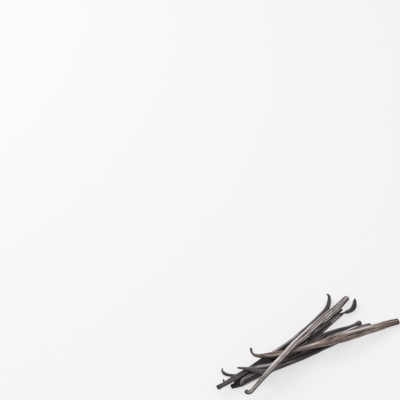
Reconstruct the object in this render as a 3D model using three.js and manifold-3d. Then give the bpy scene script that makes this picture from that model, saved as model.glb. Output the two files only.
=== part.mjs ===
// A bundle of vanilla pods: eight dried pods that lie loosely across one another, fanned out at
// both ends, joined into one solid.
//
// Lengths are millimetres and angles are degrees. +Z is up and the pods lie roughly along +X. The
// origin is on the surface that the bundle rests on, under the middle of its bounding box.

import * as THREE from "three";
import { mergeVertices } from "three/addons/utils/BufferGeometryUtils.js";
import Module from "manifold-3d";

// Section of a pod: a flattened ring whose corners are ridges and grooves in turn.
const FLATNESS = 0.78; // height over width
const CORNERS = 12;
const GROOVE = 0.08; // depth of a groove over the half width
const CAP = 0.45; // length of a rounded end over the width there
const CUT_CAP = 0.2; // the same for an end that was cut off
const CAP_RINGS = 3;

// Rings along a pod: one wherever the path has gone this far, or has turned this much.
const LONGEST_STEP = 5.5;
const LARGEST_TURN = 11;
const PATH_STEP = 0.1;

// What lies under the surface plane is cut away, so the lowest pods have a narrow flat to lie on.
const TRIM = { width: 300, depth: 20 };

const PEEL = new THREE.MeshStandardMaterial({ color: "#4a3a35", roughness: 0.55, metalness: 0 });

// Each pod's path is worked out from its heading and pitch along the way, and is then moved so
// that the pod's midpoint lies at `middle`. `bow` and `sag` are what heading and pitch gain from
// end to end, and `wave` is a swing of the heading to either side. A bend near an end lies `at` a
// distance from that end, spreads `over` a length, and turns the path by `turn` and `rise`.
// `widths` holds stations: a distance from the start and the width there. An end may be cut off.
const PODS = [
  // Three pods side by side on the surface: a blunt one, one that ends in a thin curl, and one
  // that ends in a hook.
  {
    middle: [-12.9, -11.9, 2.3],
    length: 165.1,
    heading: 38,
    bow: 29.7,
    wave: -1.6,
    pitch: 0,
    sag: -1,
    endBends: [{ at: 43.2, over: 50, turn: -25.9, rise: 0 }],
    startCut: true,
    endCut: true,
    widths: [
      [0, 5], [8, 6.6], [20, 7.6], [40, 7.4], [112, 7.8], [138, 5.6], [152, 3.6], [158, 3.8],
      [162.3, 6], [165.1, 5.4],
    ],
  },
  {
    middle: [-25.2, -4.5, 2.3],
    length: 168,
    heading: 38.8,
    bow: 4.8,
    wave: 0,
    pitch: 0.5,
    sag: -4,
    startBends: [
      { at: 5.1, over: 17, turn: -96.3, rise: 1 },
      { at: 23.4, over: 30, turn: -52.3, rise: 0 },
    ],
    widths: [[0, 1.3], [8, 3.7], [16, 3.2], [30, 4], [71, 5.4], [132, 6.8], [155, 5.6], [168, 3.2]],
  },
  {
    middle: [-11.2, -3.5, 2.4],
    length: 190.1,
    heading: 37.6,
    bow: 11.8,
    wave: 5,
    pitch: -0.6,
    sag: 1.5,
    startBends: [{ at: 3.4, over: 5, turn: -120, rise: 0 }],
    endBends: [
      { at: 27.2, over: 11, turn: -28, rise: 5 },
      { at: 13.7, over: 16, turn: 65.9, rise: 4 },
    ],
    widths: [
      [0, 2], [8, 2.6], [18, 6.8], [42, 7], [70, 5.8], [122, 6.8], [153, 5], [160, 4.4],
      [165.5, 2.2], [169, 4.6], [178.6, 5.9], [185, 4.5], [190.1, 1.5],
    ],
  },
  // A short pod that leans on them.
  {
    middle: [-35.8, -27.7, 7.3],
    length: 98,
    heading: 32,
    bow: 4,
    wave: -2,
    pitch: 1,
    sag: -3,
    startBends: [{ at: 7, over: 10, turn: 50, rise: -2 }],
    widths: [[0, 3.5], [10, 5], [45, 7.5], [80, 7.5], [98, 5]],
  },
  // A pod with one cut end, swept to a thin tip at the other.
  {
    middle: [-22, -5.7, 8.4],
    length: 186,
    heading: 43.5,
    bow: 19.9,
    wave: 3.6,
    pitch: -1.5,
    sag: -9,
    endBends: [
      { at: 17.9, over: 30, turn: 36, rise: 4 },
      { at: 2.5, over: 6, turn: 55, rise: 0 },
    ],
    startCut: true,
    widths: [
      [0, 5.6], [7, 4.9], [22, 6.2], [36, 6.4], [61, 9], [111, 7.5], [147, 5.7], [160, 5.6],
      [172, 5], [180, 3.6], [186, 2.1],
    ],
  },
  // A wide pod that starts high and slopes down to the surface.
  {
    middle: [-0.3, -15.6, 7.5],
    length: 164.7,
    heading: 31.1,
    bow: 25.7,
    wave: -0.6,
    pitch: -5,
    sag: -1,
    startBends: [{ at: 26.1, over: 24, turn: -25.9, rise: -5 }],
    endBends: [{ at: 20.3, over: 30, turn: -14.1, rise: 0 }],
    widths: [[0, 2], [8, 3.4], [26, 11], [90, 8], [128, 8.4], [150, 6.4], [158, 5], [164.7, 3.2]],
  },
  // A wide pod that arches over the others and has a curled stalk.
  {
    middle: [17.3, -5.4, 12.7],
    length: 178.4,
    heading: 21.5,
    bow: 11.2,
    wave: 1.2,
    pitch: -3,
    sag: -16,
    startBends: [
      { at: 8.6, over: 14, turn: -72.2, rise: 6 },
      { at: 22.9, over: 50, turn: -31.4, rise: 0 },
    ],
    endCut: true,
    widths: [
      [0, 2.7], [3, 2.6], [7, 2.6], [12, 3.8], [28, 7.8], [42, 6.9], [60, 5.8], [110, 11],
      [150, 9], [178.4, 7.5],
    ],
  },
  // A long pod on top of all, with a short hooked stalk.
  {
    middle: [-7.8, -3.9, 19],
    length: 182.1,
    heading: 49,
    bow: 2.7,
    wave: -0.4,
    pitch: -2,
    sag: -36,
    startBends: [{ at: 4.4, over: 7.9, turn: -106, rise: -10 }],
    endBends: [{ at: 33.5, over: 36, turn: 8.2, rise: 0 }],
    startCut: true,
    widths: [
      [0, 5], [3, 5.4], [8, 4.6], [17, 4.7], [50, 7], [100, 8.5], [123, 8.6], [154, 8.2],
      [182.1, 6.6],
    ],
  },
];

const { degToRad, lerp, smoothstep } = THREE.MathUtils;
const UP = new THREE.Vector3(0, 0, 1);

// The path's direction at a distance from the pod's start.
function directionAt(pod, distance) {
  const share = distance / pod.length - 0.5;
  let heading = pod.heading + pod.bow * share + pod.wave * Math.sin(2 * Math.PI * share);
  let pitch = pod.pitch + pod.sag * share;
  for (const bend of pod.startBends ?? []) {
    const done = smoothstep(bend.at + bend.over / 2 - distance, 0, bend.over);
    heading += bend.turn * done;
    pitch -= bend.rise * done;
  }
  for (const bend of pod.endBends ?? []) {
    const done = smoothstep(bend.at + bend.over / 2 - (pod.length - distance), 0, bend.over);
    heading += bend.turn * done;
    pitch += bend.rise * done;
  }
  const level = Math.cos(degToRad(pitch));
  return new THREE.Vector3(
    Math.cos(degToRad(heading)) * level,
    Math.sin(degToRad(heading)) * level,
    Math.sin(degToRad(pitch)),
  );
}

// Points along the pod's whole path, each with its distance from the start and its direction.
function pathOf(pod) {
  const steps = 2 * Math.round(pod.length / PATH_STEP / 2);
  const step = pod.length / steps;
  const path = [];
  const point = new THREE.Vector3();
  for (let i = 0; i <= steps; i++) {
    path.push({ distance: i * step, point: point.clone(), direction: directionAt(pod, i * step) });
    point.addScaledVector(directionAt(pod, (i + 0.5) * step), step);
  }
  const shift = new THREE.Vector3(...pod.middle).sub(path[steps / 2].point);
  path.forEach((place) => place.point.add(shift));
  return path;
}

// The width between the two stations that a distance falls between.
function widthAt(pod, distance) {
  const last = pod.widths.length - 1;
  const found = pod.widths.findIndex(([station]) => station > distance);
  const next = found < 0 ? last : found;
  const [from, narrow] = pod.widths[next - 1];
  const [to, wide] = pod.widths[next];
  return lerp(narrow, wide, smoothstep(distance, from, to));
}

// How long the rounding is at a pod's start and at its end.
function capsOf(pod) {
  return {
    start: (pod.startCut ? CUT_CAP : CAP) * pod.widths[0][1],
    end: (pod.endCut ? CUT_CAP : CAP) * pod.widths.at(-1)[1],
  };
}

// The half width of the ring at a distance, rounded off at both ends.
function halfWidthAt(pod, distance) {
  const caps = capsOf(pod);
  const left = 1 - Math.min(distance / caps.start, (pod.length - distance) / caps.end, 1);
  return (widthAt(pod, distance) / 2) * Math.sqrt(1 - left * left);
}

// The places that get a ring: a few over each rounded end, and between the ends where the path
// has gone or turned far enough.
function ringPlaces(pod, path) {
  const placeAt = (distance) => path[Math.round((distance / pod.length) * (path.length - 1))];
  const caps = capsOf(pod);
  const shares = Array.from({ length: CAP_RINGS }, (_, i) => (i + 1) / CAP_RINGS);
  const along = shares.map((share) => 1 - Math.cos((share * Math.PI) / 2));

  const places = along.map((part) => placeAt(caps.start * part));
  for (const place of path) {
    const before = places.at(-1);
    if (place.distance > pod.length - caps.end - PATH_STEP) break;
    const gone = place.distance - before.distance;
    const turned = before.direction.angleTo(place.direction);
    if (gone >= LONGEST_STEP || (gone > 0 && turned >= degToRad(LARGEST_TURN))) places.push(place);
  }
  places.push(...along.reverse().map((part) => placeAt(pod.length - caps.end * part)));
  return places;
}

// The closed surface of one pod: its rings joined by quads, and a point at each end.
function podGeometry(pod) {
  const path = pathOf(pod);
  const places = ringPlaces(pod, path);
  const vertices = [];
  for (const { distance, point, direction } of places) {
    const side = new THREE.Vector3().crossVectors(UP, direction).normalize();
    const top = new THREE.Vector3().crossVectors(direction, side);
    const half = halfWidthAt(pod, distance);
    for (let corner = 0; corner < CORNERS; corner++) {
      const angle = (2 * Math.PI * corner) / CORNERS;
      const reach = half * (corner % 2 ? 1 - GROOVE : 1);
      vertices.push(
        point
          .clone()
          .addScaledVector(side, reach * Math.cos(angle))
          .addScaledVector(top, reach * FLATNESS * Math.sin(angle)),
      );
    }
  }
  const start = vertices.push(path[0].point) - 1;
  const end = vertices.push(path.at(-1).point) - 1;

  const faces = [];
  const lastRing = (places.length - 1) * CORNERS;
  for (let corner = 0; corner < CORNERS; corner++) {
    const next = (corner + 1) % CORNERS;
    faces.push(start, next, corner);
    faces.push(end, lastRing + corner, lastRing + next);
    for (let ring = 0; ring < lastRing; ring += CORNERS) {
      faces.push(ring + corner, ring + next, ring + CORNERS + next);
      faces.push(ring + corner, ring + CORNERS + next, ring + CORNERS + corner);
    }
  }
  return new THREE.BufferGeometry().setFromPoints(vertices).setIndex(faces);
}

function trimGeometry() {
  const box = new THREE.BoxGeometry(TRIM.width, TRIM.width, TRIM.depth);
  box.translate(0, 0, -TRIM.depth / 2);
  return mergeVertices(box.deleteAttribute("normal").deleteAttribute("uv"));
}

const wasm = await Module();
wasm.setup();

function solidOf(geometry) {
  return new wasm.Manifold(
    new wasm.Mesh({
      numProp: 3,
      vertProperties: geometry.attributes.position.array,
      triVerts: Uint32Array.from(geometry.index.array),
    }),
  );
}

function geometryOf(solid) {
  const { vertProperties, triVerts } = solid.getMesh();
  const geometry = new THREE.BufferGeometry();
  geometry.setAttribute("position", new THREE.BufferAttribute(vertProperties, 3));
  geometry.setIndex(new THREE.BufferAttribute(triVerts, 1));
  geometry.computeVertexNormals();
  return geometry;
}

const joined = PODS.map((pod) => solidOf(podGeometry(pod))).reduce((all, pod) => all.add(pod));
const bundle = new THREE.Mesh(geometryOf(joined.subtract(solidOf(trimGeometry()))), PEEL);
bundle.name = "vanilla_pods";

const part = new THREE.Group();
part.add(bundle);

export default part;
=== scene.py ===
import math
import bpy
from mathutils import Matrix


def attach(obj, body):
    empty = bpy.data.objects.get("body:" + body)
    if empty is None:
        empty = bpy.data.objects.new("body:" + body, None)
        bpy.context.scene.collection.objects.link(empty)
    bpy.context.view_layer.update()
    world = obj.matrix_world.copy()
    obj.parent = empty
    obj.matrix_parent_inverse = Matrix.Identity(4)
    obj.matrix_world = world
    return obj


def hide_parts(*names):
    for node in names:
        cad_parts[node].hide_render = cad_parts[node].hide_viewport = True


bl_info = {
    "name": "Bundle of Vanilla Pods",
    "version": (1, 0, 0),
    "blender": (4, 5, 0),
    "location": "3D View > Sidebar > Vanilla",
    "description": "Lays a loose bundle of dried vanilla pods on a pale floor",
    "category": "Add Mesh",
}

from typing import NamedTuple

import bpy
from mathutils import Vector, noise

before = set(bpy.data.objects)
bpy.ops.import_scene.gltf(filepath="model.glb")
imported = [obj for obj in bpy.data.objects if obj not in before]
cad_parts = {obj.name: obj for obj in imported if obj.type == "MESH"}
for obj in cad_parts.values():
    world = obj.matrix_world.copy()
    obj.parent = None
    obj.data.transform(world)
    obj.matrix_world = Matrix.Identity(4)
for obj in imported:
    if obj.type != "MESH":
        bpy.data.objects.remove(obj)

BODY = "root"
NODE = "vanilla_pods"
MM = 0.001
UP = Vector((0, 0, 1))


# --- The pods ----------------------------------------------------------------------------------


class Bend(NamedTuple):
    """A turn near a pod's end: how far from it, over what length, and how much sideways and up."""

    at: float
    over: float
    turn: float
    rise: float


class Band(NamedTuple):
    """A stripe along the skin: where round it, how broad, from where to where, how strong.

    It drifts round the skin by so much from its start to its end.
    """

    turn: float
    spread: float
    start: float
    end: float
    strength: float = 1
    drift: float = 0


class Pod(NamedTuple):
    """One pod, in millimetres and degrees.

    Its path is worked out from its heading and pitch along the way, and is then moved so that its
    midpoint lies at middle. bow and sag are what heading and pitch gain from end to end, and wave
    is a swing of the heading to either side. widths holds a distance from the start and the width
    there. A cut end is flat and slightly hollow, and any other is rounded. dark_start, dark_end
    and warm_start say how far a dried, dark tip or a brown stalk end reaches. ridges is how many
    ridges run round the pod. A place round the skin is given in turns: 0 is the left side, 0.25 the
    top and 0.5 the right side. groove is where the one deep groove runs, and groove_depth its depth
    over the half width. pale holds the stripes painted paler, partly dried skin and partly a
    painted highlight on the upper side; glint holds painted highlights, shade painted shade, and
    tan the stripes where the skin is a warmer brown.
    """

    name: str
    skin: str
    middle: tuple
    length: float
    heading: float
    widths: tuple
    bow: float = 0
    wave: float = 0
    pitch: float = 0
    sag: float = 0
    start_bends: tuple = ()
    end_bends: tuple = ()
    start_cut: bool = False
    end_cut: bool = False
    dark_start: float = 3
    dark_end: float = 3
    warm_start: float = 0
    ridges: int = 9
    groove: float = 0.3
    groove_depth: float = 0.12
    pale: tuple = ()
    glint: tuple = ()
    shade: tuple = ()
    tan: tuple = ()


PODS = (
    Pod(
        "blunt", "dark", (-12.9, -11.9, 2.3), 165.1, 38,
        (
            (0, 5), (8, 6.6), (20, 7.6), (40, 7.4), (112, 7.8), (138, 5.6), (152, 3.6), (158, 3.8),
            (162.3, 6), (165.1, 5.4),
        ),
        bow=29.7, wave=-1.6, sag=-1, end_bends=(Bend(43.2, 50, -25.9, 0),),
        start_cut=True, end_cut=True, dark_start=15, dark_end=1.5,
        ridges=8, groove=0.36,
        pale=(Band(0.3, 0.08, 100, 146, 0.5), Band(0.3, 0.25, 148, 170, 0.4)),
        glint=(Band(0.52, 0.1, 12, 44, 0.6), Band(0.44, 0.05, 120, 146, 0.35)),
        shade=(Band(0.3, 0.2, 28, 100, 0.8),),
    ),
    Pod(
        "curled", "dark", (-25.2, -4.5, 2.3), 168, 38.8,
        (
            (0, 1.3), (8, 3.7), (16, 3.2), (30, 4), (71, 5.4), (132, 6.8), (155, 5.6),
            (168, 3.2),
        ),
        bow=4.8, pitch=0.5, sag=-4, ridges=8, shade=(Band(0.4, 0.3, 20, 168, 0.8),),
        start_bends=(Bend(5.1, 17, -96.3, 1), Bend(23.4, 30, -52.3, 0)),
    ),
    Pod(
        "hooked", "plum", (-11.2, -3.5, 2.4), 190.1, 37.6,
        (
            (0, 2), (8, 2.6), (18, 6.8), (42, 7), (70, 5.8), (122, 6.8), (153, 5), (160, 4.4),
            (165.5, 2.2), (169, 4.6), (178.6, 5.9), (185, 4.5), (190.1, 1.5),
        ),
        bow=11.8, wave=5, pitch=-0.6, sag=1.5, start_bends=(Bend(3.4, 5, -120, 0),),
        end_bends=(Bend(27.2, 11, -28, 5), Bend(13.7, 16, 65.9, 4)),
        ridges=8, pale=(Band(0.34, 0.2, 118, 164, 0.3),),
        glint=(Band(0.36, 0.08, 92, 108, 0.4), Band(0.32, 0.1, 142, 160, 0.4)),
        shade=(Band(0.3, 0.3, 10, 90, 0.7),),
    ),
    Pod(
        "short", "dark", (-35.8, -27.7, 7.3), 98, 32,
        ((0, 3.5), (10, 5), (45, 7.5), (80, 7.5), (98, 5)),
        bow=4, wave=-2, pitch=1, sag=-3, start_bends=(Bend(7, 10, 50, -2),),
        ridges=8, groove=0.4, pale=(Band(0.32, 0.2, -6, 70, 0.75),),
        glint=(Band(0.12, 0.06, 1, 30, 0.8),),
    ),
    Pod(
        "swept", "dark", (-22, -5.7, 8.4), 186, 43.5,
        (
            (0, 5.6), (7, 4.9), (22, 6.2), (36, 6.4), (61, 9), (111, 7.5), (147, 5.7), (160, 5.6),
            (172, 5), (180, 3.6), (186, 2.1),
        ),
        bow=19.9, wave=3.6, pitch=-1.5, sag=-9,
        end_bends=(Bend(17.9, 30, 36, 4), Bend(2.5, 6, 55, 0)), start_cut=True,
        dark_start=2, ridges=8, groove=0.5,
        pale=(Band(0.34, 0.2, 0, 32, 0.3), Band(0.24, 0.08, 118, 160, 0.5)),
        glint=(Band(0.17, 0.04, 60, 118, 0.6),),
        shade=(Band(0.3, 0.3, 28, 68, 1), Band(0.34, 0.14, 66, 124, 1)),
    ),
    Pod(
        "sloping", "plum", (-0.3, -15.6, 7.5), 164.7, 31.1,
        ((0, 2), (8, 3.4), (26, 11), (90, 8), (128, 8.4), (150, 6.4), (158, 5), (164.7, 3.2)),
        bow=25.7, wave=-0.6, pitch=-5, sag=-1, start_bends=(Bend(26.1, 24, -25.9, -5),),
        end_bends=(Bend(20.3, 30, -14.1, 0),),
        dark_start=7, ridges=9, pale=(Band(0.3, 0.18, 8, 48, 0.2),),
        glint=(
            Band(0.22, 0.04, 16, 40, 0.4),
            Band(0.56, 0.04, 92, 112, 0.35),
            Band(0.3, 0.1, 146, 164, 0.2),
        ),
        shade=(Band(0.36, 0.25, 46, 126, 0.9),),
    ),
    Pod(
        "arched", "brown", (17.3, -5.4, 12.7), 178.4, 21.5,
        (
            (0, 2.7), (3, 2.6), (7, 2.6), (12, 3.8), (28, 7.8), (42, 6.9), (60, 5.8), (110, 11),
            (150, 9), (178.4, 7.5),
        ),
        bow=11.2, wave=1.2, pitch=-3, sag=-16, end_cut=True,
        start_bends=(Bend(8.6, 14, -72.2, 6), Bend(22.9, 50, -31.4, 0)),
        dark_start=12, dark_end=3, ridges=9, groove=0.24, groove_depth=0.06,
        pale=(
            Band(0.33, 0.04, 18, 50, 1, -0.02),
            Band(0.24, 0.12, 50, 96, 0.8),
            Band(0.22, 0.08, 90, 150, 0.8),
        ),
        glint=(
            Band(0.32, 0.03, 18, 44, 0.4),
            Band(0.24, 0.05, 52, 82, 0.8),
            Band(0.2, 0.05, 104, 150, 0.6),
        ),
        shade=(
            Band(0.49, 0.15, 12, 50, 1),
            Band(0.27, 0.03, 92, 146, 0.9),
            Band(0.57, 0.08, 140, 186, 0.9),
        ),
        tan=(Band(0.16, 0.1, 14, 62, 0.8),),
    ),
    Pod(
        "top", "pale", (-7.8, -3.9, 19), 182.1, 49,
        (
            (0, 5), (3, 5.4), (8, 4.6), (17, 4.7), (50, 7), (100, 8.5), (123, 8.6), (154, 8.2),
            (182.1, 6.6),
        ),
        bow=2.7, wave=-0.4, pitch=-2, sag=-36, start_bends=(Bend(4.4, 7.9, -106, -10),),
        end_bends=(Bend(33.5, 36, 8.2, 0),),
        start_cut=True, dark_start=3, dark_end=0, warm_start=7, ridges=10, groove=0.45,
        pale=(Band(0.2, 0.07, 18, 60, 0.8), Band(0.4, 0.12, 56, 140, 0.6)),
        glint=(Band(0.155, 0.045, 20, 122, 1),),
        shade=(Band(0.19, 0.06, 118, 182, 0.8),),
    ),
)

# The dark filling between the pods, painted all over with shade, which shuts the gaps between
# them so that they show as shade.
SHADED_CORE = Pod(
    "core", "dark", (-39.1, -18.8, 5.2), 104, 35.5,
    ((0, 2), (14, 4.5), (45, 8), (85, 8), (104, 2)),
    bow=-11, pitch=2, sag=-4, shade=(Band(0.3, 0.45, -10, 114, 1),),
)

# Each skin: its ground, the pale of its ridges and how strongly that shows. The pale of the
# ridges is partly dried skin and partly a painted highlight on the ridge tops.
SKINS = {
    "pale": ((0.19, 0.152, 0.148), (0.85, 0.77, 0.76), 0.95),
    "brown": ((0.18, 0.125, 0.108), (0.68, 0.55, 0.49), 0.8),
    "plum": ((0.1, 0.08, 0.081), (0.44, 0.38, 0.39), 0.75),
    "dark": ((0.058, 0.048, 0.047), (0.38, 0.33, 0.33), 0.7),
}

# The kinds of stripe, and what the path of a pod carries for each of its rings. pale is partly
# paler dried skin and partly painted highlight, glint is painted highlight, shade is painted shade
# and tan is a warmer brown.
STRIPES = ("pale", "glint", "shade", "tan")
STRIPE_FACTS = tuple(f"{kind}_{fact}" for kind in STRIPES for fact in ("turn", "spread", "here"))
PATH_FACTS = ("half_width", "along", "dish", "dark", "warm") + STRIPE_FACTS

PATH_STEP = 0.1  # millimetres between two points of a pod's path
CAP = 0.45  # length of a rounded end over the width there
CAP_RINGS = 8
# A cut end from its middle to its rim: inset over the width, share of the half width.
CUT_RINGS = ((0.0, 0.0), (0.002, 0.4), (0.004, 0.7), (0.008, 0.88), (0.04, 0.96), (0.1, 1.0))
DRIFT_STRETCH = 22  # millimetres over which a pod's drift from its smooth path changes
DRIFT_APART = Vector((0, 0, 9))  # makes the drift across differ from the drift along
NO_BAND = (0, 0.1, 0)  # turn, spread and strength where no stripe shows
BAND_FADE = 4  # a stripe fades in and out over one part in so many of its length
WARM_GAIN = 1.4  # above one, a brown stalk end is at its full strength before its tip


def smooth(share):
    share = min(max(share, 0), 1)
    return share * share * (3 - 2 * share)


def direction_at(pod, distance):
    """The path's direction at a distance from the pod's start."""
    share = distance / pod.length - 0.5
    heading = pod.heading + pod.bow * share + pod.wave * math.sin(2 * math.pi * share)
    pitch = pod.pitch + pod.sag * share
    for bend in pod.start_bends:
        done = smooth((bend.at + bend.over / 2 - distance) / bend.over)
        heading += bend.turn * done
        pitch -= bend.rise * done
    for bend in pod.end_bends:
        done = smooth((bend.at + bend.over / 2 - (pod.length - distance)) / bend.over)
        heading += bend.turn * done
        pitch += bend.rise * done
    turn, tilt = math.radians(heading), math.radians(pitch)
    return Vector(
        (math.cos(turn) * math.cos(tilt), math.sin(turn) * math.cos(tilt), math.sin(tilt))
    )


def path_of(pod):
    """Points along the pod's path, evenly spaced, in millimetres."""
    steps = 2 * round(pod.length / PATH_STEP / 2)
    step = pod.length / steps
    points = [Vector((0, 0, 0))]
    for i in range(steps):
        points.append(points[-1] + direction_at(pod, (i + 0.5) * step) * step)
    shift = Vector(pod.middle) - points[steps // 2]
    return [point + shift for point in points]


def width_at(pod, distance):
    """The width between the two stations that a distance falls between."""
    stations = pod.widths
    for (start, narrow), (end, wide) in zip(stations, stations[1:]):
        if distance <= end:
            return narrow + (wide - narrow) * smooth((distance - start) / (end - start))
    return stations[-1][1]


def end_rings(width, cut):
    """Rings from the end's middle outwards: inset from the end, share of the half width."""
    if cut:
        return [(inset * width, share) for inset, share in CUT_RINGS]
    quarter = [math.pi / 2 * i / CAP_RINGS for i in range(CAP_RINGS + 1)]
    return [(CAP * width * (1 - math.cos(angle)), math.sin(angle)) for angle in quarter]


def rings_of(pod, step):
    """All rings of a pod: distance from the start and half width, in millimetres."""
    first = end_rings(pod.widths[0][1], pod.start_cut)
    last = end_rings(pod.widths[-1][1], pod.end_cut)
    rings = list(first)
    free = pod.length - first[-1][0] - last[-1][0]
    count = round(free / step)
    rings += [(first[-1][0] + free * i / count, 1) for i in range(1, count)]
    rings += [(pod.length - inset, share) for inset, share in reversed(last)]
    return [(distance, width_at(pod, distance) / 2 * share) for distance, share in rings]


def band_at(bands, distance):
    """The turn, spread and strength of the band that shows most at a distance from the start."""
    shown = NO_BAND
    for band in bands:
        share = (distance - band.start) / (band.end - band.start)
        strength = band.strength * smooth(BAND_FADE * min(share, 1 - share))
        if strength > shown[2]:
            shown = (band.turn + band.drift * share, band.spread, strength)
    return shown


def path_mesh(pod, seed, settings):
    """A line of points along the pod that carries what its surface is made from."""
    path = path_of(pod)
    rings = rings_of(pod, settings.ring_step / MM)
    points, facts = [], {name: [] for name in PATH_FACTS}
    for distance, half in rings:
        place = distance / pod.length * (len(path) - 1)
        before = min(int(place), len(path) - 2)
        point = path[before].lerp(path[before + 1], place - before)
        sway = Vector((distance / DRIFT_STRETCH, seed, 0))
        drift = Vector((noise.noise(sway), noise.noise(sway + DRIFT_APART), 0))
        points.append((point + drift * settings.drift / MM) * MM)
        to_end = min(distance, pod.length - distance)
        at_start = distance < pod.length / 2
        cut = pod.start_cut if at_start else pod.end_cut
        rim = width_at(pod, distance) / 2
        hollow = rim * settings.cut_hollow * (1 - (half / rim) ** 2) if cut else 0
        dark = pod.dark_start if at_start else pod.dark_end
        warm = pod.warm_start if at_start else 0
        facts["half_width"].append(half * MM)
        facts["along"].append(distance * MM)
        facts["dish"].append(hollow * MM * (1 if at_start else -1))
        facts["dark"].append(smooth(1 - to_end / dark) if dark else 0)
        facts["warm"].append(smooth(WARM_GAIN - WARM_GAIN * to_end / warm) if warm else 0)
        stripes = [value for kind in STRIPES for value in band_at(getattr(pod, kind), distance)]
        for name, value in zip(STRIPE_FACTS, stripes):
            facts[name].append(value)
    mesh = bpy.data.meshes.new(pod.name + "_path")
    mesh.from_pydata(points, [(i, i + 1) for i in range(len(points) - 1)], [])
    for name, values in facts.items():
        mesh.attributes.new(name, "FLOAT", "POINT").data.foreach_set("value", values)
    return mesh


# --- Node trees --------------------------------------------------------------------------------

POD_TREE = "Pod Along Path"
SKIN_GROUP = "Pod Skin"

# Noise drawn out along a pod: grains across it, grains a metre along it, detail.
SWELL_GRAIN = (0.0, 40.0, 2.0)
FOLD_GRAIN = (1.0, 14.0, 1.0)
SWAY_GRAIN = (0.7, 16.0, 1.0)
DEPTH_GRAIN = (1.5, 30.0, 1.0)
LINE_SWAY_GRAIN = (2.0, 25.0, 1.0)
GROOVE_SWAY_GRAIN = (0.0, 18.0, 1.0)
GROOVE_OPEN_GRAIN = (0.0, 25.0, 1.0)

LINES_A_RIDGE = 3.0  # fine lines for each ridge
LINE_SWAY = 2.0  # how far the fine lines sway, over how far the ridges do
WRINKLE_GRAIN = 800.0  # grains a metre
GROOVE_SWAY = 0.12  # turns
GROOVE_EDGE = 0.955  # cosine of the angle from the groove's middle to its edge
# A groove deep enough is painted dark with shade, along with the furrows.
GROOVE_SHOWN = (0.06, 0.12)  # the depths from which and at which a groove looks dark
# Painted shade on every pod's underside: where it is darkest, and where it starts and is full.
UNDERSIDE_SHADE_TURN = 0.66  # the shaded underside of every pod
UNDERSIDE_SHADE_EDGE = (0.5, 0.95)  # cosines of the angles where its shade starts and is full
LOWEST = (-10.0, -10.0, 0.0)  # no point lies below the surface
WELD = 2e-6  # points closer than this become one

# Noise on the skin, as grains across and a metre along it, or as grains a metre.
STREAK_GRAIN = (3.0, 3.0, 26.0)
DARK_STREAK_GRAIN = (3.0, 3.0, 60.0)
PATCH_GRAIN = 60.0
FINE_GRAIN = 650.0

# How strongly each of these shows; the underside and the shade stripes are painted shade.
SPECKS = 0.3
DARK_STREAKS = 0.6
UNDERSIDE_SHADE = 0.7
SHADE = 0.85
WARM_TIP = 0.8
DARK_TIP = 0.9
BUMP = 0.5


class Wiring:
    """Adds nodes to a tree and links them, so that a tree reads as a list of sums."""

    def __init__(self, tree):
        self.tree = tree

    def node(self, kind, *inputs, **settings):
        """A new node with its settings made and its inputs filled in order; None leaves one."""
        made = self.tree.nodes.new(kind)
        for name, value in settings.items():
            setattr(made, name, value)
        open_inputs = [socket for socket in made.inputs if socket.enabled]
        for socket, value in zip(open_inputs, inputs):
            self.fill(socket, value)
        return made

    def fill(self, socket, value):
        if isinstance(value, bpy.types.NodeSocket):
            self.tree.links.new(value, socket)
        elif value is not None:
            socket.default_value = value

    def sum(self, operation, *inputs):
        return self.node("ShaderNodeMath", *inputs, operation=operation).outputs[0]

    def vector(self, operation, *inputs):
        made = self.node("ShaderNodeVectorMath", *inputs, operation=operation)
        return next(socket for socket in made.outputs if socket.enabled)

    def scaled(self, vector, factor):
        made = self.node("ShaderNodeVectorMath", vector, operation="SCALE")
        self.fill(made.inputs["Scale"], factor)
        return made.outputs["Vector"]

    def remap(self, value, low, high, to_low=0.0, to_high=1.0):
        """A value eased from one range to another."""
        return self.node(
            "ShaderNodeMapRange", value, low, high, to_low, to_high,
            interpolation_type="SMOOTHSTEP",
        ).outputs[0]

    def noise(self, vector, seed, scale=1.0, detail=3.0):
        """Noise between zero and one, drawn anew for each seed."""
        made = self.node("ShaderNodeTexNoise", noise_dimensions="4D")
        for name, value in (("Vector", vector), ("W", seed), ("Scale", scale), ("Detail", detail)):
            self.fill(made.inputs[name], value)
        return made.outputs["Fac"]

    def mix(self, factor, first, second):
        """Two colours mixed."""
        made = self.node("ShaderNodeMix", data_type="RGBA")
        colours = [socket for socket in made.inputs if socket.type == "RGBA"]
        self.fill(made.inputs["Factor"], factor)
        self.fill(colours[0], first)
        self.fill(colours[1], second)
        return next(socket for socket in made.outputs if socket.type == "RGBA")


def new_group(kind, name, inputs, outputs):
    """A node group with its named inputs and outputs, each with the type of its socket."""
    tree = bpy.data.node_groups.new(name, kind)
    for in_out, sockets in (("INPUT", inputs), ("OUTPUT", outputs)):
        for label, socket in sockets:
            tree.interface.new_socket(label, in_out=in_out, socket_type="NodeSocket" + socket)
    return tree, Wiring(tree), tree.nodes.new("NodeGroupInput"), tree.nodes.new("NodeGroupOutput")


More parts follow.
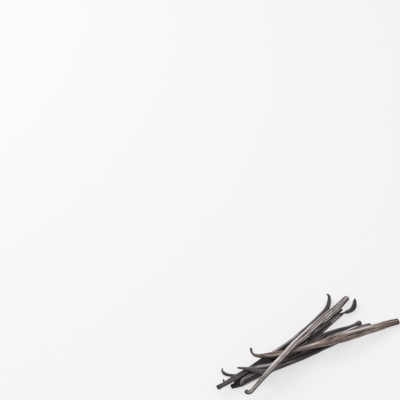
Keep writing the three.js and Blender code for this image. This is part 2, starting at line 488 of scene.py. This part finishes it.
def pod_tree():
    """Geometry nodes: the pod's skin swept along its path, with folds, ridges and wrinkles."""
    tree, wire, given, made = new_group(
        "GeometryNodeTree",
        POD_TREE,
        (
            ("Path", "Geometry"),
            ("Corners", "Int"),
            ("Flatness", "Float"),
            ("Swell", "Float"),
            ("Fold Depth", "Float"),
            ("Ridges", "Int"),
            ("Ridge Depth", "Float"),
            ("Line Depth", "Float"),
            ("Wander", "Float"),
            ("Wrinkle Depth", "Float"),
            ("Groove Turn", "Float"),
            ("Groove Depth", "Float"),
            ("Seed", "Float"),
            ("Skin", "Material"),
        ),
        (("Pod", "Geometry"),),
    )
    value = given.outputs

    def stored(geometry, name, data_type, field):
        return wire.node(
            "GeometryNodeStoreNamedAttribute", geometry, None, name, field, data_type=data_type
        ).outputs[0]

    def read(name, data_type="FLOAT"):
        made = wire.node("GeometryNodeInputNamedAttribute", name, data_type=data_type)
        return made.outputs["Attribute"]

    # The sweep: a ring of corners round each point of the path.
    curve = wire.node("GeometryNodeMeshToCurve", value["Path"]).outputs[0]
    curve = wire.node("GeometryNodeSetCurveNormal", curve, mode="Z_UP").outputs[0]
    position = wire.node("GeometryNodeInputPosition").outputs[0]
    tangent = wire.node("GeometryNodeInputTangent").outputs[0]
    curve = stored(curve, "centre", "FLOAT_VECTOR", position)
    curve = stored(curve, "direction", "FLOAT_VECTOR", tangent)
    ring = wire.node("GeometryNodeCurvePrimitiveCircle", value["Corners"], 1.0).outputs[0]
    skin = wire.node("GeometryNodeCurveToMesh", curve, ring, read("half_width")).outputs[0]

    # Where each corner lies round its ring, as the cosine and sine of its turn.
    centre = read("centre", "FLOAT_VECTOR")
    direction = read("direction", "FLOAT_VECTOR")
    side = wire.vector("NORMALIZE", wire.vector("CROSS_PRODUCT", tuple(UP), direction))
    top = wire.vector("CROSS_PRODUCT", direction, side)
    spoke = wire.vector("SUBTRACT", position, centre)
    reach = wire.vector("LENGTH", spoke)
    cosine = wire.sum("DIVIDE", wire.vector("DOT_PRODUCT", spoke, side), reach)
    sine = wire.sum("DIVIDE", wire.vector("DOT_PRODUCT", spoke, top), reach)
    around = wire.node("ShaderNodeCombineXYZ", cosine, sine, read("along")).outputs[0]
    skin = stored(skin, "around", "FLOAT_VECTOR", around)
    skin = stored(skin, "reach", "FLOAT", reach)
    around = read("around", "FLOAT_VECTOR")
    reach = read("reach")

    parts = wire.node("ShaderNodeSeparateXYZ", around).outputs
    angle = wire.sum("ARCTAN2", parts[1], parts[0])

    def lengthwise(grain):
        """Noise about zero, drawn out along the pod."""
        across, along, detail = grain
        place = wire.vector("MULTIPLY", around, (across, across, along))
        return wire.sum("SUBTRACT", wire.noise(place, value["Seed"], detail=detail), 0.5)

    def ribs(count, sway):
        """One on a rounded rib, falling to nothing in the sharp furrows between the ribs."""
        phase = wire.sum("MULTIPLY_ADD", angle, wire.sum("MULTIPLY", count, 0.5), sway)
        return wire.sum("ABSOLUTE", wire.sum("SINE", phase))

    def near(turn):
        """How near a corner is to a turn round the skin: one there, minus one opposite."""
        aim = wire.sum("MULTIPLY", turn, 2 * math.pi)
        return wire.sum("COSINE", wire.sum("SUBTRACT", angle, aim))

    def stripe(kind):
        """A soft stripe where, as broad and as strong as the path says."""
        edge = wire.sum("COSINE", wire.sum("MULTIPLY", read(kind + "_spread"), 2 * math.pi))
        strength = read(kind + "_here")
        return wire.sum("MULTIPLY", wire.remap(near(read(kind + "_turn")), edge, 1.0), strength)

    # Broad folds, ribs that sway and vary in depth, fine lines on them and small wrinkles.
    swell = wire.sum("MULTIPLY", lengthwise(SWELL_GRAIN), value["Swell"])
    fold = wire.sum("MULTIPLY", lengthwise(FOLD_GRAIN), value["Fold Depth"])
    sway = wire.sum("MULTIPLY", lengthwise(SWAY_GRAIN), value["Wander"])
    rib = ribs(value["Ridges"], sway)
    depth = wire.remap(lengthwise(DEPTH_GRAIN), -0.14, 0.1, to_low=0.45)
    furrow = wire.sum("MULTIPLY", wire.sum("SUBTRACT", 1.0, rib), depth)
    line_wander = wire.sum("MULTIPLY", value["Wander"], LINE_SWAY)
    line_sway = wire.sum("MULTIPLY", lengthwise(LINE_SWAY_GRAIN), line_wander)
    line = ribs(wire.sum("MULTIPLY", value["Ridges"], LINES_A_RIDGE), line_sway)
    wrinkle = wire.sum("SUBTRACT", wire.noise(position, value["Seed"], WRINKLE_GRAIN), 0.5)

    # The one deep groove runs along the skin, sways a little and shuts here and there.
    groove_sway = lengthwise(GROOVE_SWAY_GRAIN)
    groove_turn = wire.sum("MULTIPLY_ADD", groove_sway, GROOVE_SWAY, value["Groove Turn"])
    open_here = wire.remap(lengthwise(GROOVE_OPEN_GRAIN), -0.12, 0.06)
    groove = wire.sum("MULTIPLY", wire.remap(near(groove_turn), GROOVE_EDGE, 1.0), open_here)

    relief = wire.sum("ADD", swell, fold)
    for dent, size in ((furrow, "Ridge Depth"), (line, "Line Depth"), (groove, "Groove Depth")):
        relief = wire.sum("SUBTRACT", relief, wire.sum("MULTIPLY", dent, value[size]))
    length = wire.sum("MULTIPLY", reach, wire.sum("ADD", relief, 1.0))
    length = wire.sum(
        "MULTIPLY_ADD",
        wrinkle,
        wire.sum("MULTIPLY", value["Wrinkle Depth"], wire.remap(reach, 0.0, 1 * MM)),
        length,
    )

    # The flattened section, kept above the surface that the pods lie on.
    across = wire.scaled(side, wire.sum("MULTIPLY", parts[0], length))
    upward = wire.scaled(
        top, wire.sum("MULTIPLY", wire.sum("MULTIPLY", parts[1], length), value["Flatness"])
    )
    place = wire.vector("ADD", centre, wire.vector("ADD", across, upward))
    place = wire.vector("ADD", place, wire.scaled(direction, read("dish")))
    place = wire.vector("MAXIMUM", place, LOWEST)
    shown = wire.remap(value["Groove Depth"], *GROOVE_SHOWN)
    # The underside mask is painted shade along every pod's lower side.
    masks = {
        "furrow": wire.sum("MAXIMUM", furrow, wire.sum("MULTIPLY", groove, shown)),
        "line": line,
        "underside_shade": wire.remap(near(UNDERSIDE_SHADE_TURN), *UNDERSIDE_SHADE_EDGE),
    }
    masks.update((kind, stripe(kind)) for kind in STRIPES)
    for name, field in masks.items():
        skin = stored(skin, name, "FLOAT", field)
    skin = wire.node("GeometryNodeSetPosition", skin, None, place).outputs[0]
    skin = wire.node("GeometryNodeMergeByDistance", skin, None, WELD).outputs[0]
    skin = wire.node("GeometryNodeSetShadeSmooth", skin, None, True).outputs[0]
    skin = wire.node("GeometryNodeRealizeInstances", skin).outputs[0]
    skin = wire.node("GeometryNodeSetMaterial", skin, None, value["Skin"]).outputs[0]
    wire.fill(made.inputs["Pod"], skin)
    return tree


def skin_group():
    """Shader nodes: the colour, gloss and fine height of a pod's dry, oily skin."""
    tree, wire, given, made = new_group(
        "ShaderNodeTree",
        SKIN_GROUP,
        (
            ("Ground", "Color"),
            ("Ridge", "Color"),
            ("Streaks", "Float"),
            ("Glint", "Color"),
            ("Deep", "Color"),
            ("Tan", "Color"),
            ("Dark Tip", "Color"),
            ("Warm Tip", "Color"),
            ("Roughness", "Float"),
        ),
        (("Color", "Color"), ("Roughness", "Float"), ("Height", "Float")),
    )
    value = given.outputs

    def read(name, output="Fac"):
        return wire.node("ShaderNodeAttribute", attribute_name=name).outputs[output]

    def at_least(least, mask):
        """A mask that is raised, so that it never falls below its least."""
        return wire.sum("MULTIPLY_ADD", mask, 1 - least, least)

    around = read("around", "Vector")
    place = wire.node("ShaderNodeTexCoord").outputs["Object"]
    furrow, line = read("furrow"), read("line")
    streak = wire.noise(wire.vector("MULTIPLY", around, STREAK_GRAIN), seed=3.0)
    streak = wire.remap(streak, 0.43, 0.58)
    dark_streak = wire.noise(wire.vector("MULTIPLY", around, DARK_STREAK_GRAIN), seed=7.0)
    dark_streak = wire.remap(dark_streak, 0.5, 0.62)
    patch = wire.remap(wire.noise(place, seed=1.0, scale=PATCH_GRAIN), 0.35, 0.65)
    fine = wire.noise(place, seed=2.0, scale=FINE_GRAIN)
    speck = wire.remap(fine, 0.52, 0.7)

    # Pale in streaks and patches and where the skin stands proud, partly dried skin and partly a
    # painted highlight on the ridge tops; nearly black in the furrows, as painted shade.
    ridge = wire.remap(furrow, 0.0, 0.4, to_low=1.0, to_high=0.0)
    pale = wire.sum("MULTIPLY", streak, at_least(0.4, ridge))
    pale = wire.sum("MULTIPLY", pale, at_least(0.4, patch))
    pale = wire.sum("MULTIPLY_ADD", wire.sum("MULTIPLY", speck, ridge), SPECKS, pale)
    pale = wire.sum("MULTIPLY", pale, value["Streaks"])
    # The pale stripes: partly paler dried skin, partly a painted highlight on the upper side.
    band = wire.sum("MULTIPLY", read("pale"), at_least(0.5, ridge))
    pale = wire.sum("MAXIMUM", pale, band)
    # Painted shade: dark in the furrows, on the underside and along the shade stripes; the dark
    # streaks are the skin's own colour.
    deep = wire.remap(furrow, 0.3, 0.65, to_high=0.95)
    for mask, strength in (
        (dark_streak, DARK_STREAKS), (read("underside_shade"), UNDERSIDE_SHADE), (read("shade"), SHADE),
    ):
        deep = wire.sum("MAXIMUM", deep, wire.sum("MULTIPLY", mask, strength))
    colour = wire.mix(pale, value["Ground"], value["Ridge"])
    colour = wire.mix(read("tan"), colour, value["Tan"])
    colour = wire.mix(deep, colour, value["Deep"])
    # The glint stripes are painted highlights.
    colour = wire.mix(read("glint"), colour, value["Glint"])
    colour = wire.mix(wire.sum("MULTIPLY", read("warm"), WARM_TIP), colour, value["Warm Tip"])
    colour = wire.mix(wire.sum("MULTIPLY", read("dark"), DARK_TIP), colour, value["Dark Tip"])

    # Oily in patches and matt in the dark; the finest grain follows the streaks and the lines.
    gloss = wire.sum("MULTIPLY_ADD", patch, -0.1, value["Roughness"])
    gloss = wire.sum("MULTIPLY_ADD", deep, 0.2, gloss)
    height = wire.sum("MULTIPLY_ADD", streak, 0.5, wire.sum("MULTIPLY", fine, 0.4))
    height = wire.sum("MULTIPLY_ADD", line, -0.3, height)
    wire.fill(made.inputs["Color"], colour)
    wire.fill(made.inputs["Roughness"], gloss)
    wire.fill(made.inputs["Height"], height)
    return tree


def skin_material(name, group, settings):
    """A pod skin with its own ground and ridge colours."""
    material = bpy.data.materials.new(f"skin_{name}")
    material.use_nodes = True
    tree = material.node_tree
    wire = Wiring(tree)
    shader = next(node for node in tree.nodes if node.type == "BSDF_PRINCIPLED")
    skin = tree.nodes.new("ShaderNodeGroup")
    skin.node_tree = group
    for label, colour in (
        ("Ground", getattr(settings, f"{name}_ground")),
        ("Ridge", getattr(settings, f"{name}_ridge")),
        ("Glint", settings.painted_glint_colour),
        ("Deep", settings.shade_and_streak_colour),
        ("Tan", settings.tan_colour),
        ("Dark Tip", settings.dark_tip_colour),
        ("Warm Tip", settings.warm_tip_colour),
    ):
        skin.inputs[label].default_value = (*colour, 1)
    skin.inputs["Streaks"].default_value = getattr(settings, f"{name}_streaks")
    skin.inputs["Roughness"].default_value = settings.roughness
    bump = wire.node("ShaderNodeBump")
    bump.inputs["Strength"].default_value = BUMP
    bump.inputs["Distance"].default_value = settings.bump_height
    wire.fill(bump.inputs["Height"], skin.outputs["Height"])
    wire.fill(shader.inputs["Base Color"], skin.outputs["Color"])
    wire.fill(shader.inputs["Roughness"], skin.outputs["Roughness"])
    wire.fill(shader.inputs["Normal"], bump.outputs["Normal"])
    shader.inputs["Specular IOR Level"].default_value = settings.shine
    return material


# --- Settings ----------------------------------------------------------------------------------


class PodSettings(bpy.types.PropertyGroup):
    """Sizes and colours of the pods."""

    ring_step: bpy.props.FloatProperty(
        name="Ring Step", description="Distance between two rings of a pod's skin",
        default=0.5 * MM, unit="LENGTH",
    )
    corners: bpy.props.IntProperty(
        name="Corners", description="Corners of one ring of a pod's skin", default=96,
    )
    flatness: bpy.props.FloatProperty(
        name="Flatness", description="Height of a pod's section over its width",
        default=0.78, subtype="FACTOR",
    )
    drift: bpy.props.FloatProperty(
        name="Drift", description="How far a pod wanders from its smooth path",
        default=0.5 * MM, unit="LENGTH",
    )
    cut_hollow: bpy.props.FloatProperty(
        name="Cut Hollow", description="Depth of a cut end's hollow over the half width",
        default=0.35, subtype="FACTOR",
    )
    swell: bpy.props.FloatProperty(
        name="Swell", description="How unevenly thick a pod is along its length",
        default=0.22, subtype="FACTOR",
    )
    fold_depth: bpy.props.FloatProperty(
        name="Fold Depth", description="Depth of the broad folds over the half width",
        default=0.2, subtype="FACTOR",
    )
    ridge_depth: bpy.props.FloatProperty(
        name="Ridge Depth", description="Depth of the furrows between ridges over the half width",
        default=0.16, subtype="FACTOR",
    )
    line_depth: bpy.props.FloatProperty(
        name="Line Depth", description="Depth of the fine lengthwise lines over the half width",
        default=0.04, subtype="FACTOR",
    )
    wander: bpy.props.FloatProperty(
        name="Wander", description="How far the ridges sway round a pod", default=2.5,
    )
    wrinkle_depth: bpy.props.FloatProperty(
        name="Wrinkle Depth", description="Depth of the small wrinkles",
        default=0.12 * MM, unit="LENGTH",
    )
    bump_height: bpy.props.FloatProperty(
        name="Bump Height", description="Height of the finest grain of the skin",
        default=0.15 * MM, unit="LENGTH",
    )
    roughness: bpy.props.FloatProperty(
        name="Roughness", description="How matt the skin is", default=0.32, subtype="FACTOR",
    )
    shine: bpy.props.FloatProperty(
        name="Shine", description="How strongly the skin mirrors light", default=0.15,
        subtype="FACTOR",
    )
    # The colour of the painted highlights along the glint stripes.
    painted_glint_colour: bpy.props.FloatVectorProperty(
        name="Glint Colour", description="Colour of the skin where it shines",
        default=(0.8, 0.76, 0.77), subtype="COLOR",
    )
    # The colour of the painted shade in the furrows, on the undersides and in the shade stripes,
    # and of the skin's own dark streaks.
    shade_and_streak_colour: bpy.props.FloatVectorProperty(
        name="Deep Colour", description="Colour in the grooves",
        default=(0.007, 0.006, 0.0065), subtype="COLOR",
    )
    tan_colour: bpy.props.FloatVectorProperty(
        name="Tan Colour", description="Colour of the warmer brown stripes",
        default=(0.34, 0.2, 0.13), subtype="COLOR",
    )
    dark_tip_colour: bpy.props.FloatVectorProperty(
        name="Dark Tip Colour", description="Colour of a dried, blackened tip",
        default=(0.012, 0.01, 0.01), subtype="COLOR",
    )
    warm_tip_colour: bpy.props.FloatVectorProperty(
        name="Warm Tip Colour", description="Colour of a brown stalk end",
        default=(0.09, 0.042, 0.026), subtype="COLOR",
    )


# Each skin has its own colours among the settings.
for skin, (ground, ridge, streaks) in SKINS.items():
    PodSettings.__annotations__.update({
        f"{skin}_ground": bpy.props.FloatVectorProperty(
            name=f"{skin.title()} Ground", description=f"Ground colour of the {skin} skin",
            default=ground, subtype="COLOR",
        ),
        f"{skin}_ridge": bpy.props.FloatVectorProperty(
            name=f"{skin.title()} Ridge", description=f"Colour of the {skin} skin's pale ridges",
            default=ridge, subtype="COLOR",
        ),
        f"{skin}_streaks": bpy.props.FloatProperty(
            name=f"{skin.title()} Streaks", description=f"How much of the {skin} skin is pale",
            default=streaks, subtype="FACTOR",
        ),
    })


class StageSettings(bpy.types.PropertyGroup):
    """The floor, the lights and the camera."""

    floor_colour: bpy.props.FloatVectorProperty(
        name="Floor Colour", description="Colour of the pale floor",
        default=(0.25, 0.2495, 0.248), subtype="COLOR",
    )
    floor_glow: bpy.props.FloatProperty(
        name="Floor Glow", description="Light that the floor gives, as a lit table does",
        default=0.64,
    )
    sky: bpy.props.FloatProperty(
        name="Sky", description="Strength of the even light from all round", default=0.6,
    )
    key_power: bpy.props.FloatProperty(
        name="Key Power", description="Power of the low light behind on the left",
        default=10.0, unit="POWER",
    )
    top_power: bpy.props.FloatProperty(
        name="Top Power", description="Power of the large light overhead",
        default=5.0, unit="POWER",
    )
    camera_place: bpy.props.FloatVectorProperty(
        name="Camera Place", description="Where the camera stands",
        default=(-0.1143, -0.7495, 0.9043), subtype="TRANSLATION", unit="LENGTH",
    )
    camera_tilt: bpy.props.FloatProperty(
        name="Camera Tilt", description="How far the camera looks down from level",
        default=math.radians(42.877), subtype="ANGLE", unit="ROTATION",
    )
    lens: bpy.props.FloatProperty(
        name="Lens", description="Focal length of the camera", default=100.0, unit="CAMERA",
    )


# --- Operators ---------------------------------------------------------------------------------


def set_input(modifier, name, value):
    """Sets a geometry nodes modifier's input by its name."""
    items = modifier.node_group.interface.items_tree
    socket = next(item for item in items if item.name == name and item.in_out == "INPUT")
    modifier[socket.identifier] = value


def add_pod(pod, seed, tree, material, settings):
    """Makes one pod as a plain mesh and hands it to the frame."""
    line = path_mesh(pod, seed, settings)
    piece = bpy.data.objects.new(pod.name + "_pod", line)
    bpy.context.scene.collection.objects.link(piece)
    modifier = piece.modifiers.new("Pod", "NODES")
    modifier.node_group = tree
    for name, value in (
        ("Corners", settings.corners),
        ("Flatness", settings.flatness),
        ("Swell", settings.swell),
        ("Fold Depth", settings.fold_depth),
        ("Ridges", pod.ridges),
        ("Ridge Depth", settings.ridge_depth),
        ("Line Depth", settings.line_depth),
        ("Wander", settings.wander),
        ("Wrinkle Depth", settings.wrinkle_depth),
        ("Groove Turn", pod.groove),
        ("Groove Depth", pod.groove_depth),
        ("Seed", float(seed)),
        ("Skin", material),
    ):
        set_input(modifier, name, value)
    graph = bpy.context.evaluated_depsgraph_get()
    mesh = bpy.data.meshes.new_from_object(piece.evaluated_get(graph))
    piece.modifiers.remove(modifier)
    piece.data = mesh
    mesh.name = piece.name
    bpy.data.meshes.remove(line)
    if not mesh.polygons:
        raise RuntimeError(f"{piece.name} has no surface")
    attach(piece, BODY)
    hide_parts(NODE)


def add_pods(pods, first_seed, settings):
    """Makes some pods with the one tree, skin group and skins that all pods share."""
    tree = bpy.data.node_groups.get(POD_TREE) or pod_tree()
    group = bpy.data.node_groups.get(SKIN_GROUP) or skin_group()
    for seed, pod in enumerate(pods, start=first_seed):
        skin = bpy.data.materials.get(f"skin_{pod.skin}")
        add_pod(pod, seed, tree, skin or skin_material(pod.skin, group, settings), settings)


class VANILLA_OT_pods(bpy.types.Operator):
    """Add the pods of the bundle"""

    bl_idname = "vanilla.pods"
    bl_label = "Pods"

    def execute(self, context):
        add_pods(PODS, 1, context.scene.vanilla_pods)
        return {"FINISHED"}


# The core is dark all over with painted shade.
class VANILLA_OT_core(bpy.types.Operator):
    """Add the dark core that the pods lie round"""

    bl_idname = "vanilla.core"
    bl_label = "Core"

    def execute(self, context):
        add_pods((SHADED_CORE,), len(PODS) + 1, context.scene.vanilla_pods)
        return {"FINISHED"}


# The floor and the lights, in metres.
FLOOR_REACH = 6.0
FLOOR_DROP = 0.2 * MM  # keeps the floor just clear of what rests on it
KEY_PLACE, KEY_SIZE = (-0.9, 0.75, 1.0), 0.8
TOP_PLACE, TOP_SIZE = (0.1, -0.4, 1.5), 2.0

FLOOR_ROUGHNESS = 0.9
SENSOR_WIDTH = 36.0  # millimetres
WHITE = (1, 1, 1, 1)


def add_light(name, place, power, size):
    """A square soft light that faces the middle of the bundle."""
    data = bpy.data.lights.new(name, "AREA")
    data.energy = power
    data.size = size
    light = bpy.data.objects.new(name, data)
    light.location = place
    light.rotation_euler = (-Vector(place)).to_track_quat("-Z", "Y").to_euler()
    bpy.context.scene.collection.objects.link(light)


class VANILLA_OT_stage(bpy.types.Operator):
    """Add the pale floor, the lights and the camera"""

    bl_idname = "vanilla.stage"
    bl_label = "Stage"

    def execute(self, context):
        scene, settings = context.scene, context.scene.vanilla_stage
        mesh = bpy.data.meshes.new("floor")
        corners = [
            (x * FLOOR_REACH, y * FLOOR_REACH, -FLOOR_DROP)
            for x, y in ((-1, -1), (1, -1), (1, 1), (-1, 1))
        ]
        mesh.from_pydata(corners, [], [(0, 1, 2, 3)])
        floor = bpy.data.objects.new("floor", mesh)
        scene.collection.objects.link(floor)
        paper = bpy.data.materials.new("floor_paper")
        paper.use_nodes = True
        shader = next(n for n in paper.node_tree.nodes if n.type == "BSDF_PRINCIPLED")
        shader.inputs["Base Color"].default_value = (*settings.floor_colour, 1)
        shader.inputs["Roughness"].default_value = FLOOR_ROUGHNESS
        shader.inputs["Emission Color"].default_value = WHITE
        shader.inputs["Emission Strength"].default_value = settings.floor_glow
        mesh.materials.append(paper)

        world = bpy.data.worlds.new("even_light")
        world.use_nodes = True
        sky = next(n for n in world.node_tree.nodes if n.type == "BACKGROUND")
        sky.inputs["Color"].default_value = WHITE
        sky.inputs["Strength"].default_value = settings.sky
        scene.world = world
        add_light("key_light", KEY_PLACE, settings.key_power, KEY_SIZE)
        add_light("top_light", TOP_PLACE, settings.top_power, TOP_SIZE)

        camera = bpy.data.objects.new("camera", bpy.data.cameras.new("camera"))
        camera.data.lens = settings.lens
        camera.data.sensor_width = SENSOR_WIDTH
        camera.location = settings.camera_place
        camera.rotation_euler = (math.pi / 2 - settings.camera_tilt, 0, 0)
        scene.collection.objects.link(camera)
        scene.camera = camera
        scene.view_settings.view_transform = "Standard"
        return {"FINISHED"}


class VANILLA_PT_bundle(bpy.types.Panel):
    """Lists the parts of the bundle"""

    bl_idname = "VANILLA_PT_bundle"
    bl_label = "Bundle of Vanilla Pods"
    bl_space_type = "VIEW_3D"
    bl_region_type = "UI"
    bl_category = "Vanilla"

    def draw(self, context):
        layout, scene = self.layout, context.scene
        for operators, settings in (
            ((VANILLA_OT_core, VANILLA_OT_pods), scene.vanilla_pods),
            ((VANILLA_OT_stage,), scene.vanilla_stage),
        ):
            box = layout.box()
            for operator in operators:
                box.operator(operator.bl_idname)
            for name in settings.__annotations__:
                box.prop(settings, name)


CLASSES = (
    PodSettings, StageSettings, VANILLA_OT_pods, VANILLA_OT_core, VANILLA_OT_stage,
    VANILLA_PT_bundle,
)


def register():
    for cls in CLASSES:
        bpy.utils.register_class(cls)
    bpy.types.Scene.vanilla_pods = bpy.props.PointerProperty(type=PodSettings)
    bpy.types.Scene.vanilla_stage = bpy.props.PointerProperty(type=StageSettings)


def unregister():
    del bpy.types.Scene.vanilla_stage
    del bpy.types.Scene.vanilla_pods
    for cls in reversed(CLASSES):
        bpy.utils.unregister_class(cls)


def main():
    register()
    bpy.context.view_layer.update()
    bpy.ops.vanilla.core()
    bpy.ops.vanilla.pods()
    bpy.ops.vanilla.stage()


if __name__ == "__main__":
    main()
